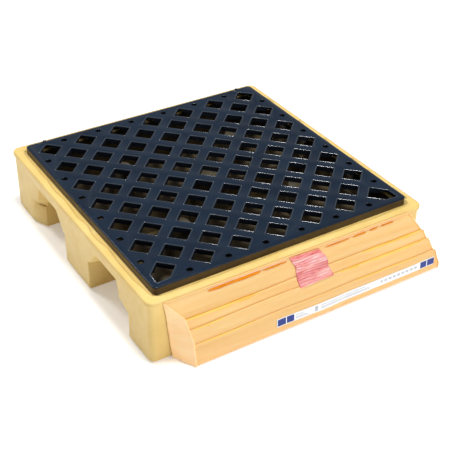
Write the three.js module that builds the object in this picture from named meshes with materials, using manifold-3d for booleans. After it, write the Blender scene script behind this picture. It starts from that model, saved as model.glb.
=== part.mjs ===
// Low-profile spill containment deck for one drum, with a fold-away overflow bladder.
//
// Millimetres, +Z up. The origin is the middle of the deck on the floor that it stands on.
// +X runs along the fork pockets, and the bladder hangs on the -Y wall.
//
// The assembly, from the floor up: a moulded sump tray with two fork pockets, five support
// columns standing in it, a lift-off grating, an outlet slot in the -Y wall with its clamped
// bladder collar, and the folded bladder with its tie tape and its marking strip.

import * as THREE from 'three';
import { mergeVertices } from 'three/addons/utils/BufferGeometryUtils.js';
import Module from 'manifold-3d';

const wasm = await Module();
wasm.setup();

// ---------------------------------------------------------------- driving dimensions

const GAP = 0.3;              // air between two pieces that touch on the real deck
const PAST = 2;               // how far a cutting solid runs past the face that it cuts

// Grating
const GRATE_SIDE = 620;       // the grating's side, a square
const GRATE_TOP = 163;        // its top face above the floor
const GRATE_THICK = 12;       // depth of the lattice bars
const GRATE_CORNER = 10;      // corner radius in plan
const HOLE_PITCH = 88.5;      // diamond holes, centre to centre along X and along Y
const HOLE_SIDE = 38.5;       // side of one diamond hole
const HOLE_FLARE = 1.5;       // the hole's mouth is this much wider on each side
const HOLE_FLARE_DEEP = 1.5;  // depth of that chamfer
const BORDER_THICK = 6;       // the web round the lattice
const BORDER_WIDE = 29;       // from the grating's edge in to the lattice bars
const LIP_WIDE = 4;           // the rim that turns down round the edge
const DRAIN_BORE = 15;        // small round holes in the border
const DRAIN_INSET = 19;       // their centres from the grating's edge
const SCALLOP_WIDE = 17;      // drain notch in the back lip beside each small hole
const VEE_REACH = 24;         // the two outlet-side corner holes run out to a point
const NUB_RADIUS = 4;         // two lifting nubs on the back edge
const NUB_TALL = 4;
const NUB_INSET = 7;
const NUB_X = 265;

// Sump tray
const SEAT_GAP = 5;           // play between the grating's edge and the rim
const RIM_DOWN = 13;          // the rim's top is this far below the grating's
const RIM_WIDE = 21.5;        // width of the rim's top
const RIM_BEAD = 13;          // height of the bead round the rim
const BEAD_PROUD = 3.5;       // how far the bead stands out from the wall
const BEAD_ROUND = 4.5;       // its edge radius
const RIM_CORNER = 18;        // outer corner radius in plan
const LEDGE_DOWN = 5;         // the grating's seat below the rim's top
const LEDGE_REACH = 17;       // width of that seat
const WALL = 6;               // moulded wall
const BOTTOM_CHAMFER = 5;     // bottom edge of the feet

// Fork pockets, one each side of the middle foot, right through along X
const FOOT_HALF = 58;         // half the middle foot
const POCKET_WIDE = 147;      // from the middle foot to the outer foot
const POCKET_TALL = 76;       // clear height above the floor
const MOUTH_DEEP = 18;        // the pocket's mouth flares out over this depth
const MOUTH_FLARE = 40;       // and by this much, on its outer side
const MOUTH_TALL = 66;        // height of the flare
const NOTCH_DEEP = 24;        // dent in the wall above the mouth
const NOTCH_DOWN = 34;        // its top is this far below the rim's
const NOTCH_IN = 34;          // its top starts this far from the middle foot
const NOTCH_WIDE = 102;       // and is this wide
const NOTCH_SLOPE = 11;       // its sides lean in this much

// Support columns under the lattice
const COLUMN_RADIUS = 52;
const COLUMN_WALL = 6;
const POST_RADIUS = 30;
const POST_WALL = 5;
const POST_X = 1.75 * HOLE_PITCH;

// Overflow outlet in the -Y wall
const SLOT_WIDE = 380;
const SLOT_TALL = 22;
const SLOT_DOWN = 64;         // middle of the slot below the rim's top
const FLANGE_MARGIN = 20;     // gaskets and frames round the slot
const GASKET_THICK = 2;
const FRAME_THICK = 3;
const COLLAR_THICK = 1;
const BOLTS_PER_ROW = 5;
const BOLT_EDGE = 10;         // bolt centres from the frame's edge
const BOLT_RADIUS = 3;
const BOLT_HEAD_TALL = 4;
const BOLT_HEAD_ACROSS = 10;
const BOLT_PAST_NUT = 3;
const NUT_TALL = 5;
const WASHER_THICK = 1.2;
const WASHER_RADIUS = 6.5;

// Folded bladder
const PACK_DOWN = 3;          // the hem's top is this far below the rim's
const PACK_FOOT = 1;          // its lowest fold above the floor
const PACK_HEM_THICK = 1.6;
const PACK_SHOULDER = { up: 5 / 7, deep: 18 };    // a share of the pack's height, and its depth there
const PACK_WAIST = { up: 24 / 49, deep: 35 };
const PACK_FOOT_DEEP = 50.5;
const PACK_LEFT_IN = [27, 35, 45, 71];        // left end, in from the wall's: hem to foot
const PACK_RIGHT_IN = [41, 11, -7, -33];      // right end, at the same heights
const PACK_CLEAR = 3;         // round the clamped outlet

// Tie tape and marking strip on the bladder's front
const TAPE_LEFT = -11;
const TAPE_WIDE = 80;
const TAPE_DOWN = 1;          // its top edge below the hem's
const TAPE_TALL = 58;
const STRIP_PAST = 13;        // its right end past the wall's
const STRIP_WIDE = 419;
const STRIP_TOP = 36.5;
const STRIP_TALL = 19;
const FILM_LABEL_THICK = 0.7;

// ---------------------------------------------------------------- sizes that follow

const grateHalf = GRATE_SIDE / 2;
const openingHalf = grateHalf + SEAT_GAP;
const rimHalf = openingHalf + RIM_WIDE;
const wallHalf = rimHalf - BEAD_PROUD;
const innerHalf = wallHalf - WALL;
const rimTop = GRATE_TOP - RIM_DOWN;
const ledgeZ = rimTop - LEDGE_DOWN;
const ledgeHalf = openingHalf - LEDGE_REACH;
const lipDeep = GRATE_TOP - ledgeZ - GAP;
const latticeUnder = GRATE_TOP - GRATE_THICK;
const notchTop = rimTop - NOTCH_DOWN;
const pocketOuter = FOOT_HALF + POCKET_WIDE;
const pocketRoof = POCKET_TALL + WALL;
const holeRows = Math.floor((grateHalf - BORDER_WIDE) / HOLE_PITCH);
const slotZ = rimTop - SLOT_DOWN;
const flangeHalfWide = SLOT_WIDE / 2 + FLANGE_MARGIN;
const flangeHalfTall = SLOT_TALL / 2 + FLANGE_MARGIN;

const packTop = rimTop - PACK_DOWN;
const tapeTop = packTop - TAPE_DOWN;
const stripLeft = wallHalf + STRIP_PAST - STRIP_WIDE;

// Layers of the clamped outlet, as distances out from the wall's outer face
const outerGasket = GAP;
const collarAt = outerGasket + GASKET_THICK + GAP;
const outerFrame = collarAt + COLLAR_THICK + GAP;
const boltHead = outerFrame + FRAME_THICK + GAP;
const boltHeadEnd = boltHead + BOLT_HEAD_TALL;
const innerGasket = -WALL - GAP - GASKET_THICK;
const innerFrame = innerGasket - GAP - FRAME_THICK;
const washerAt = innerFrame - GAP - WASHER_THICK;
const nutAt = washerAt - GAP - NUT_TALL;
const boltEnd = nutAt - BOLT_PAST_NUT;

// ---------------------------------------------------------------- solids

/** Make a manifold solid from a three.js geometry. */
function solid(geometry) {
  let bare = geometry.index ? geometry.toNonIndexed() : geometry.clone();
  bare.deleteAttribute('normal');
  bare.deleteAttribute('uv');
  bare = mergeVertices(bare, 1e-4);
  return new wasm.Manifold(new wasm.Mesh({
    numProp: 3,
    vertProperties: new Float32Array(bare.attributes.position.array),
    triVerts: new Uint32Array(bare.index.array),
  }));
}

/** Turn a manifold solid back into a three.js geometry. */
function geometryOf(shape) {
  const mesh = shape.getMesh();
  const geometry = new THREE.BufferGeometry();
  geometry.setAttribute('position', new THREE.BufferAttribute(mesh.vertProperties, 3));
  geometry.setIndex(new THREE.BufferAttribute(mesh.triVerts, 1));
  geometry.computeVertexNormals();
  return geometry;
}

/** A box from its lowest to its highest corner. */
function block(low, high) {
  const size = high.map((value, axis) => value - low[axis]);
  const geometry = new THREE.BoxGeometry(...size);
  geometry.translate(...low.map((value, axis) => value + size[axis] / 2));
  return solid(geometry);
}

/** Join a list of solids. */
function join(shapes) {
  return shapes.reduce((whole, next) => whole.add(next));
}

/** Points round a rectangle with round corners, anticlockwise. */
function roundedSquare(half, radius, steps = 5) {
  const points = [];
  const middle = half - radius;
  for (let corner = 0; corner < 4; corner += 1) {
    const turn = corner * Math.PI / 2;
    const cx = middle * Math.SQRT2 * Math.cos(turn + Math.PI / 4);
    const cy = middle * Math.SQRT2 * Math.sin(turn + Math.PI / 4);
    for (let step = 0; step <= steps; step += 1) {
      const angle = turn + step * Math.PI / 2 / steps;
      points.push([cx + radius * Math.cos(angle), cy + radius * Math.sin(angle)]);
    }
  }
  return points;
}

/** A closed solid through outlines of equal point count, each with its own place. */
function loft(rings) {
  const count = rings[0].length;
  const position = rings.flat(2);
  const flat = rings[0];
  const normal = new THREE.Vector3();
  flat.forEach((point, index) => {
    const next = flat[(index + 1) % count];
    normal.x += (point[1] - next[1]) * (point[2] + next[2]);
    normal.y += (point[2] - next[2]) * (point[0] + next[0]);
    normal.z += (point[0] - next[0]) * (point[1] + next[1]);
  });
  const drop = ['x', 'y', 'z'].sort((a, b) => Math.abs(normal[b]) - Math.abs(normal[a]))[0];
  const keep = { x: [1, 2], y: [2, 0], z: [0, 1] }[drop];
  const outline = flat.map((point) => new THREE.Vector2(point[keep[0]], point[keep[1]]));
  const caps = THREE.ShapeUtils.triangulateShape(outline, []);
  if (THREE.ShapeUtils.isClockWise(outline)) caps.forEach((cap) => cap.reverse());
  const index = [];
  const last = (rings.length - 1) * count;
  caps.forEach(([a, b, c]) => {
    index.push(a, c, b);
    index.push(last + a, last + b, last + c);
  });
  for (let ring = 0; ring < rings.length - 1; ring += 1) {
    for (let side = 0; side < count; side += 1) {
      const a = ring * count + side;
      const b = ring * count + (side + 1) % count;
      index.push(a, b, b + count, a, b + count, a + count);
    }
  }
  const geometry = new THREE.BufferGeometry();
  geometry.setAttribute('position', new THREE.Float32BufferAttribute(position, 3));
  geometry.setIndex(index);
  const volume = signedVolume(geometry);
  if (volume < 0) {
    for (let at = 0; at < index.length; at += 3) {
      [index[at], index[at + 1]] = [index[at + 1], index[at]];
    }
    geometry.setIndex(index);
  }
  return solid(geometry);
}

/** Six times the volume inside a geometry, negative when it is inside out. */
function signedVolume(geometry) {
  const at = (corner) => new THREE.Vector3().fromBufferAttribute(
    geometry.attributes.position,
    geometry.index.getX(corner),
  );
  let sum = 0;
  for (let corner = 0; corner < geometry.index.count; corner += 3) {
    sum += at(corner).dot(at(corner + 1).cross(at(corner + 2)));
  }
  return sum;
}

/** A square prism with round corners, straight up from one height to another. */
function squarePrism(half, radius, low, high) {
  const points = roundedSquare(half, radius);
  return loft([low, high].map((z) => points.map(([x, y]) => [x, y, z])));
}

/** A square prism whose half size changes with height: steps are [half, radius, z]. */
function squareStack(steps) {
  return loft(steps.map(([half, radius, z]) => (
    roundedSquare(half, radius).map(([x, y]) => [x, y, z])
  )));
}

/** A round bar along one axis, between two distances along it. */
function bar(axis, radius, low, high, sides = 24) {
  const geometry = new THREE.CylinderGeometry(radius, radius, high - low, sides);
  geometry.translate(0, (low + high) / 2, 0);
  if (axis === 'x') geometry.rotateZ(-Math.PI / 2);
  if (axis === 'z') geometry.rotateX(Math.PI / 2);
  return solid(geometry);
}

// ---------------------------------------------------------------- sump tray

/** The outside of the tray: straight walls, a chamfered foot and a round bead at the rim. */
function traySkin() {
  const beadFoot = rimTop - RIM_BEAD;
  const wallCorner = RIM_CORNER - BEAD_PROUD;
  const steps = [
    [wallHalf - BOTTOM_CHAMFER, wallCorner - BOTTOM_CHAMFER, 0],
    [wallHalf, wallCorner, BOTTOM_CHAMFER],
    [wallHalf, wallCorner, beadFoot],
    [rimHalf, RIM_CORNER, beadFoot + BEAD_PROUD / 2],
  ];
  const arcs = 3;
  for (let step = 0; step <= arcs; step += 1) {
    const angle = step * Math.PI / 2 / arcs;
    const inset = BEAD_ROUND * (1 - Math.cos(angle));
    steps.push([rimHalf - inset, RIM_CORNER - inset, rimTop - BEAD_ROUND * (1 - Math.sin(angle))]);
  }
  return squareStack(steps);
}

/** The hollow above the seat, the throat through the seat and the hollow below it. */
function trayHollow() {
  const round = BEAD_ROUND / 2;
  return join([
    squareStack([
      [openingHalf, GRATE_CORNER + SEAT_GAP, ledgeZ],
      [openingHalf, GRATE_CORNER + SEAT_GAP, rimTop - round],
      [openingHalf + round, GRATE_CORNER + SEAT_GAP + round, rimTop],
      [openingHalf + round, GRATE_CORNER + SEAT_GAP + round, rimTop + PAST],
    ]),
    squarePrism(ledgeHalf, GRATE_CORNER, ledgeZ - WALL - PAST, ledgeZ + PAST),
    squarePrism(innerHalf, RIM_CORNER - BEAD_PROUD - WALL, WALL, ledgeZ - WALL),
  ]);
}

/** The outline of a fork pocket's mouth at the wall's face, as [distance from middle, height]. */
function mouthOutline() {
  const notchInner = FOOT_HALF + NOTCH_IN;
  const notchOuter = notchInner + NOTCH_WIDE;
  const low = MOUTH_TALL - NOTCH_SLOPE;
  return [
    [FOOT_HALF, low],
    [FOOT_HALF + 4, POCKET_TALL - 4],
    [notchInner, notchTop - 5],
    [notchInner + 8, notchTop],
    [notchOuter, notchTop],
    [notchOuter + 6, POCKET_TALL + 4],
    [pocketOuter + MOUTH_FLARE - 7, MOUTH_TALL],
    [pocketOuter + MOUTH_FLARE - 6, low],
  ];
}

/** The same outline at the back of the notch, where its sides have leaned in. */
function notchBackOutline() {
  const notchInner = FOOT_HALF + NOTCH_IN + NOTCH_SLOPE;
  const notchOuter = FOOT_HALF + NOTCH_IN + NOTCH_WIDE - NOTCH_SLOPE;
  const low = MOUTH_TALL - NOTCH_SLOPE;
  return [
    [FOOT_HALF, low],
    [FOOT_HALF + 4, POCKET_TALL - 6],
    [notchInner, notchTop - NOTCH_SLOPE - 5],
    [notchInner + 8, notchTop - NOTCH_SLOPE],
    [notchOuter - 2, notchTop - NOTCH_SLOPE],
    [notchOuter, POCKET_TALL],
    [pocketOuter - 1, MOUTH_TALL],
    [pocketOuter, low],
  ];
}

/** The four places of a pocket mouth: each end of the deck, each side of the middle foot. */
const MOUTHS = [[-1, -1], [-1, 1], [1, -1], [1, 1]];

/** What one pocket mouth takes out of the tray: the notch and the flare. */
function mouthCut([end, side]) {
  const face = wallHalf + PAST;
  const place = (outline, x) => outline.map(([y, z]) => [end * x, side * y, z]);
  const notch = loft([
    place(mouthOutline(), face),
    place(mouthOutline(), wallHalf),
    place(notchBackOutline(), wallHalf - NOTCH_DEEP),
  ]);
  const flarePlan = [
    [face, FOOT_HALF],
    [face, pocketOuter + MOUTH_FLARE + PAST],
    [wallHalf - MOUTH_DEEP, pocketOuter],
    [wallHalf - MOUTH_DEEP, FOOT_HALF],
  ];
  const flare = loft([-PAST, MOUTH_TALL].map((z) => (
    flarePlan.map(([x, y]) => [end * x, side * y, z])
  )));
  return notch.add(flare);
}

/** The moulded wall round one pocket mouth, before the mouth is cut. */
function mouthBacking([end, side]) {
  const plan = [
    [wallHalf - WALL / 2, FOOT_HALF - WALL],
    [wallHalf - WALL / 2, pocketOuter + MOUTH_FLARE + WALL],
    [wallHalf - MOUTH_DEEP - WALL, pocketOuter + WALL],
    [wallHalf - MOUTH_DEEP - WALL, FOOT_HALF - WALL],
  ];
  const low = loft([WALL / 2, pocketRoof].map((z) => (
    plan.map(([x, y]) => [end * x, side * y, z])
  )));
  const notchPlan = [
    [wallHalf - WALL / 2, FOOT_HALF - WALL],
    [wallHalf - WALL / 2, FOOT_HALF + NOTCH_IN + NOTCH_WIDE + 2 * WALL],
    [wallHalf - NOTCH_DEEP - WALL, FOOT_HALF + NOTCH_IN + NOTCH_WIDE],
    [wallHalf - NOTCH_DEEP - WALL, FOOT_HALF - WALL],
  ];
  const high = loft([pocketRoof - WALL, notchTop + WALL].map((z) => (
    notchPlan.map(([x, y]) => [end * x, side * y, z])
  )));
  return low.add(high);
}

/** The tray: skin less hollow, with the pockets' own walls put back and the pockets cut. */
function sumpTray() {
  const inside = wallHalf - WALL / 2;
  const shells = [-1, 1].map((side) => block(
    [-inside, Math.min(side * (FOOT_HALF - WALL), side * (pocketOuter + WALL)), WALL / 2],
    [inside, Math.max(side * (FOOT_HALF - WALL), side * (pocketOuter + WALL)), pocketRoof],
  ));
  const channels = [-1, 1].map((side) => block(
    [-wallHalf - PAST, Math.min(side * FOOT_HALF, side * pocketOuter), -PAST],
    [wallHalf + PAST, Math.max(side * FOOT_HALF, side * pocketOuter), POCKET_TALL],
  ));
  const slot = block(
    [-SLOT_WIDE / 2, -wallHalf - PAST, slotZ - SLOT_TALL / 2],
    [SLOT_WIDE / 2, -innerHalf + PAST, slotZ + SLOT_TALL / 2],
  );
  return traySkin()
    .subtract(trayHollow())
    .add(join(shells))
    .add(join(MOUTHS.map((mouth) => mouthBacking(mouth))))
    .subtract(join(channels))
    .subtract(join(MOUTHS.map((mouth) => mouthCut(mouth))))
    .subtract(slot)
    .subtract(boltHoles(-wallHalf - PAST, -innerHalf + PAST));
}

// ---------------------------------------------------------------- grating

/** One diamond hole with its chamfered mouth, as a solid to cut with. */
function diamondHole(x, y) {
  const reach = HOLE_SIDE / Math.SQRT2;
  const wide = reach + HOLE_FLARE * Math.SQRT2;
  const ring = (size, z) => [
    [x + size, y, z], [x, y + size, z], [x - size, y, z], [x, y - size, z],
  ];
  return loft([
    ring(reach, latticeUnder - PAST),
    ring(reach, GRATE_TOP - HOLE_FLARE_DEEP),
    ring(wide, GRATE_TOP),
    ring(wide, GRATE_TOP + PAST),
  ]);
}

/** The centres of all the diamond holes: a square lattice and its own middle points. */
function diamondCentres() {
  const centres = [];
  for (let ix = -holeRows; ix <= holeRows; ix += 0.5) {
    for (let iy = -holeRows; iy <= holeRows; iy += 0.5) {
      const bothWhole = Number.isInteger(ix) && Number.isInteger(iy);
      const bothHalf = !Number.isInteger(ix) && !Number.isInteger(iy);
      if (bothWhole || bothHalf) centres.push([ix * HOLE_PITCH, iy * HOLE_PITCH]);
    }
  }
  return centres;
}

/** The pointed end that turns an outlet-side corner hole into a pentagon. */
function cornerVee(side) {
  const centre = holeRows * HOLE_PITCH;
  const reach = HOLE_SIDE / Math.SQRT2;
  const tip = reach / 2 + VEE_REACH / Math.SQRT2;
  const plan = [
    [side * centre, -centre - reach],
    [side * (centre + tip), -centre - tip],
    [side * (centre + reach), -centre],
    [side * centre, -centre],
  ];
  return loft([latticeUnder - PAST, GRATE_TOP + PAST].map((z) => plan.map(([x, y]) => [x, y, z])));
}

/** Places along one edge of the small round holes, half a pitch off the diamond rows. */
function drainPlaces() {
  const places = [];
  for (let at = -holeRows + 0.5; at < holeRows; at += 1) places.push(at * HOLE_PITCH);
  return places;
}

/** The small round holes on all four edges, and the notches that drain the back ones. */
function drainCuts() {
  const line = grateHalf - DRAIN_INSET;
  const hole = bar('z', DRAIN_BORE / 2, latticeUnder - PAST, GRATE_TOP + PAST, 14);
  const notch = block(
    [-SCALLOP_WIDE / 2, line, ledgeZ - PAST],
    [SCALLOP_WIDE / 2, grateHalf + PAST, rimTop],
  );
  const cuts = [];
  drainPlaces().forEach((along) => {
    cuts.push(notch.translate([along, 0, 0]));
    for (let turn = 0; turn < 4; turn += 1) {
      cuts.push(hole.translate([along, line, 0]).rotate([0, 0, turn * 90]));
    }
  });
  return join(cuts);
}

/** The grating: a slab thinned under its border, with a lip, holes and two nubs. */
function deckGrate() {
  const slab = squareStack([
    [grateHalf, GRATE_CORNER, GRATE_TOP - lipDeep],
    [grateHalf, GRATE_CORNER, GRATE_TOP - 2],
    [grateHalf - 0.6, GRATE_CORNER - 0.6, GRATE_TOP - 0.6],
    [grateHalf - 2, GRATE_CORNER - 2, GRATE_TOP],
  ]);
  const latticeHalf = grateHalf - BORDER_WIDE;
  const under = squarePrism(latticeHalf, GRATE_CORNER, ledgeZ - PAST, latticeUnder);
  const border = squarePrism(
    grateHalf - LIP_WIDE,
    GRATE_CORNER - LIP_WIDE,
    ledgeZ - PAST,
    GRATE_TOP - BORDER_THICK,
  ).subtract(squarePrism(latticeHalf, GRATE_CORNER, ledgeZ - 2 * PAST, GRATE_TOP));
  const holes = join(diamondCentres().map(([x, y]) => diamondHole(x, y)));
  const vees = cornerVee(-1).add(cornerVee(1));
  const nubs = [-1, 1].map((side) => bar(
    'z',
    NUB_RADIUS,
    GRATE_TOP - BORDER_THICK / 2,
    GRATE_TOP + NUB_TALL,
    12,
  ).translate([side * NUB_X, grateHalf - NUB_INSET, 0]));
  return slab
    .subtract(under)
    .subtract(border)
    .subtract(holes)
    .subtract(vees)
    .subtract(drainCuts())
    .add(join(nubs));
}

// ---------------------------------------------------------------- support columns

/** A tapered tube with a closed top, standing from one height to just under the lattice. */
function supportColumn(radius, wall, foot) {
  const top = latticeUnder - GAP;
  const profile = [
    [radius - wall, foot],
    [radius, foot],
    [radius * 0.9, top - 2],
    [radius * 0.9 - 2, top],
    [0, top],
    [0, top - wall],
    [radius * 0.9 - wall, top - wall],
  ].map(([r, z]) => new THREE.Vector2(r, z));
  profile.push(profile[0].clone());
  const geometry = new THREE.LatheGeometry(profile, 24);
  geometry.rotateX(Math.PI / 2);
  return solid(geometry);
}

// ---------------------------------------------------------------- outlet and its fasteners

/** Bolt centres round the outlet, as [x, z]. */
function boltPlaces() {
  const places = [];
  const spanX = 2 * (flangeHalfWide - BOLT_EDGE);
  for (let row = -1; row <= 1; row += 2) {
    for (let column = 0; column < BOLTS_PER_ROW; column += 1) {
      const x = spanX * (column / (BOLTS_PER_ROW - 1) - 0.5);
      places.push([x, slotZ + row * (flangeHalfTall - BOLT_EDGE)]);
    }
  }
  return places;
}

/** Clearance holes for every bolt, through a span of Y. */
function boltHoles(low, high) {
  const hole = bar('y', BOLT_RADIUS + GAP, low, high, 12);
  return join(boltPlaces().map(([x, z]) => hole.translate([x, 0, z])));
}

/** A flat ring round the outlet; its layer is given as distances out from the wall's face. */
function flangeRing(near, thick) {
  const low = -wallHalf - near - thick;
  const high = -wallHalf - near;
  const plate = block(
    [-flangeHalfWide, low, slotZ - flangeHalfTall],
    [flangeHalfWide, high, slotZ + flangeHalfTall],
  );
  const window = block(
    [-SLOT_WIDE / 2, low - PAST, slotZ - SLOT_TALL / 2],
    [SLOT_WIDE / 2, high + PAST, slotZ + SLOT_TALL / 2],
  );
  return plate.subtract(window).subtract(boltHoles(low - PAST, high + PAST));
}

/** A hexagon along Y between two distances from the wall's face. */
function hexagon(across, near, far) {
  const radius = across / Math.sqrt(3);
  return bar('y', radius, -wallHalf - far, -wallHalf - near, 6);
}

/** One bolt: hexagon head outside the wall, shank through to past its nut. */
function bolt() {
  const head = hexagon(BOLT_HEAD_ACROSS, boltHead, boltHeadEnd);
  const shank = bar('y', BOLT_RADIUS, -wallHalf - boltHead - 1, -wallHalf - boltEnd, 12);
  return head.add(shank);
}

/** One washer on the inner frame. */
function washer() {
  const disc = bar('y', WASHER_RADIUS, -wallHalf - washerAt - WASHER_THICK, -wallHalf - washerAt, 16);
  return disc.subtract(bar('y', BOLT_RADIUS + GAP, -wallHalf, -innerHalf + 4 * WALL, 12));
}

/** One nut on its washer. */
function nut() {
  const body = hexagon(BOLT_HEAD_ACROSS, nutAt, nutAt + NUT_TALL);
  return body.subtract(bar('y', BOLT_RADIUS + GAP, -wallHalf, -innerHalf + 4 * WALL, 12));
}

// ---------------------------------------------------------------- folded bladder

/** Heights at which the bladder's outline is set, with how deep it stands out there. */
const PACK_LEVELS = [
  { z: packTop, deep: BEAD_PROUD + GAP + PACK_HEM_THICK },
  { z: packTop * PACK_SHOULDER.up, deep: PACK_SHOULDER.deep },
  { z: packTop * PACK_WAIST.up, deep: PACK_WAIST.deep },
  { z: PACK_FOOT, deep: PACK_FOOT_DEEP },
];

/** How far the bladder's front stands out from the wall at one height. */
function packDepth(z) {
  for (let level = 0; level < PACK_LEVELS.length - 1; level += 1) {
    const upper = PACK_LEVELS[level];
    const lower = PACK_LEVELS[level + 1];
    if (z >= lower.z) {
      const share = (upper.z - z) / (upper.z - lower.z);
      return upper.deep + share * (lower.deep - upper.deep);
    }
  }
  return PACK_FOOT_DEEP;
}

/** The folded bladder as one wedge against the wall, with room for the clamped outlet. */
function bladderPack() {
  const rings = PACK_LEVELS.map(({ z, deep }, level) => {
    const left = PACK_LEFT_IN[level] - wallHalf;
    const right = wallHalf - PACK_RIGHT_IN[level];
    return [
      [left, -wallHalf - GAP, z],
      [left, -wallHalf - deep, z],
      [right, -wallHalf - deep, z],
      [right, -wallHalf - GAP, z],
    ];
  });
  const beadFoot = rimTop - RIM_BEAD;
  const beadRoom = block(
    [-rimHalf, -rimHalf - GAP, beadFoot - GAP],
    [rimHalf, -wallHalf + PAST, rimTop],
  );
  const outletRoom = block(
    [-flangeHalfWide - PACK_CLEAR, -wallHalf - boltHeadEnd - GAP, slotZ - flangeHalfTall - PACK_CLEAR],
    [flangeHalfWide + PACK_CLEAR, -wallHalf + PAST, slotZ + flangeHalfTall + PACK_CLEAR],
  );
  return loft(rings).subtract(beadRoom).subtract(outletRoom);
}

/** A thin patch that follows the bladder's front between two heights. */
function frontPatch(left, width, top, foot) {
  const bends = PACK_LEVELS.map(({ z }) => z).filter((z) => z < top && z > foot);
  const levels = [top, ...bends, foot];
  return loft(levels.map((z) => {
    const near = -wallHalf - packDepth(z) - GAP;
    const far = near - FILM_LABEL_THICK;
    return [[left, near, z], [left, far, z], [left + width, far, z], [left + width, near, z]];
  }));
}

// ---------------------------------------------------------------- assembly

const SUMP_YELLOW = { color: 0xe6c878, roughness: 0.5, metalness: 0 };
const GRATE_BLACK = { color: 0x2a3644, roughness: 0.35, metalness: 0 };
const COLUMN_YELLOW = { color: 0xd9ba6a, roughness: 0.55, metalness: 0 };
const RUBBER = { color: 0x23201e, roughness: 0.85, metalness: 0 };
const STEEL = { color: 0xb4b6b8, roughness: 0.35, metalness: 1 };
const FILM_ORANGE = { color: 0xf8cf8f, roughness: 0.4, metalness: 0 };
const TAPE_RED = { color: 0xe99a92, roughness: 0.35, metalness: 0 };
const STRIP_WHITE = { color: 0xf2f0ea, roughness: 0.5, metalness: 0 };

const deck = new THREE.Group();
const grateGroup = new THREE.Group();
const outletGroup = new THREE.Group();
const bladderGroup = new THREE.Group();
deck.add(grateGroup, outletGroup, bladderGroup);

/** Add one named piece to a group. */
function piece(group, name, shape, look, place = [0, 0, 0]) {
  const mesh = new THREE.Mesh(geometryOf(shape), new THREE.MeshStandardMaterial(look));
  mesh.name = name;
  mesh.position.set(...place);
  group.add(mesh);
}

piece(deck, 'sump_tray', sumpTray(), SUMP_YELLOW);
piece(grateGroup, 'deck_grate', deckGrate(), GRATE_BLACK);

piece(deck, 'centre_column', supportColumn(COLUMN_RADIUS - WALL, COLUMN_WALL, WALL + GAP), COLUMN_YELLOW);
const post = supportColumn(POST_RADIUS, POST_WALL, pocketRoof + GAP);
const postY = (FOOT_HALF + pocketOuter) / 2;
[[-1, -1], [1, -1], [1, 1], [-1, 1]].forEach(([sideX, sideY], index) => {
  piece(deck, `support_post_${index + 1}`, post, COLUMN_YELLOW, [sideX * POST_X, sideY * postY, 0]);
});

piece(outletGroup, 'outlet_gasket_outer', flangeRing(outerGasket, GASKET_THICK), RUBBER);
piece(outletGroup, 'bladder_collar', flangeRing(collarAt, COLLAR_THICK), FILM_ORANGE);
piece(outletGroup, 'clamp_frame_outer', flangeRing(outerFrame, FRAME_THICK), STEEL);
piece(outletGroup, 'outlet_gasket_inner', flangeRing(innerGasket, GASKET_THICK), RUBBER);
piece(outletGroup, 'clamp_frame_inner', flangeRing(innerFrame, FRAME_THICK), STEEL);
boltPlaces().forEach(([x, z], index) => {
  const number = String(index + 1).padStart(2, '0');
  piece(outletGroup, `outlet_bolt_${number}`, bolt(), STEEL, [x, 0, z]);
  piece(outletGroup, `outlet_washer_${number}`, washer(), STEEL, [x, 0, z]);
  piece(outletGroup, `outlet_nut_${number}`, nut(), STEEL, [x, 0, z]);
});

piece(bladderGroup, 'bladder_pack', bladderPack(), FILM_ORANGE);
piece(bladderGroup, 'tie_tape', frontPatch(TAPE_LEFT, TAPE_WIDE, tapeTop, tapeTop - TAPE_TALL), TAPE_RED);
piece(
  bladderGroup,
  'marking_strip',
  frontPatch(stripLeft, STRIP_WIDE, STRIP_TOP, STRIP_TOP - STRIP_TALL),
  STRIP_WHITE,
);

export default deck;
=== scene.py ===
"""Spill containment deck: a moulded sump with fork pockets, its lift-off grating and a folded bladder.

Everything is in metres in the frame of the CAD model: +Z up, +X along the fork pockets, and the bladder
on the -Y wall. Each sub-assembly is a class with its own sizes and a build method, and main() builds them
in order.
"""

import logging
import math
from dataclasses import dataclass, field
from enum import Enum
from typing import Callable, Iterable, Optional, Sequence

import bmesh
import bpy
import numpy as np
from mathutils import Matrix, Vector, noise


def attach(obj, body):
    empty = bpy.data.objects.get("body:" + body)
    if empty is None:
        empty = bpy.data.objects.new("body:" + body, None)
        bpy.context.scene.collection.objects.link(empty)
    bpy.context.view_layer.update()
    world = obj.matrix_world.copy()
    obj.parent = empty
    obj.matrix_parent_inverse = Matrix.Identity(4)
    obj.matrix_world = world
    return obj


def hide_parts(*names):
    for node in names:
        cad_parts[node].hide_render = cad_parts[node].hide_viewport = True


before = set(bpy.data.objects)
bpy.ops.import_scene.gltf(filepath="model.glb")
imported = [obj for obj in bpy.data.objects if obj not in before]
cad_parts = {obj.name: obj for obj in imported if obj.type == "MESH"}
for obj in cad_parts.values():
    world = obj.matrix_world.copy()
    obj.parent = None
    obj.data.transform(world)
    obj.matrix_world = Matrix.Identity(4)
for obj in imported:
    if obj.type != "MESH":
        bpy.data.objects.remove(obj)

log = logging.getLogger("spill_deck")

MM = 0.001
Colour = tuple[float, float, float]
Point = tuple[float, float, float]
Spans = tuple[tuple[float, float], ...]
Socket = bpy.types.NodeSocket
Thing = bpy.types.Object
Finish = bpy.types.Material


class Body(Enum):
    """The moving bodies of the deck."""

    DECK = "deck"
    GRATE = "grate"
    BLADDER = "bladder"


class Slot(Enum):
    """The finishes that the deck can be repainted by."""

    SUMP = "sump_plastic"
    GRATE = "grate_plastic"
    COLUMN = "column_plastic"
    RUBBER = "gasket_rubber"
    FILM = "bladder_film"
    CLAMP = "clamp_steel"
    FASTENER = "fastener_steel"
    TAPE = "tie_tape"
    STRIP = "marking_strip"


# ---------------------------------------------------------------- finishes


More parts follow.
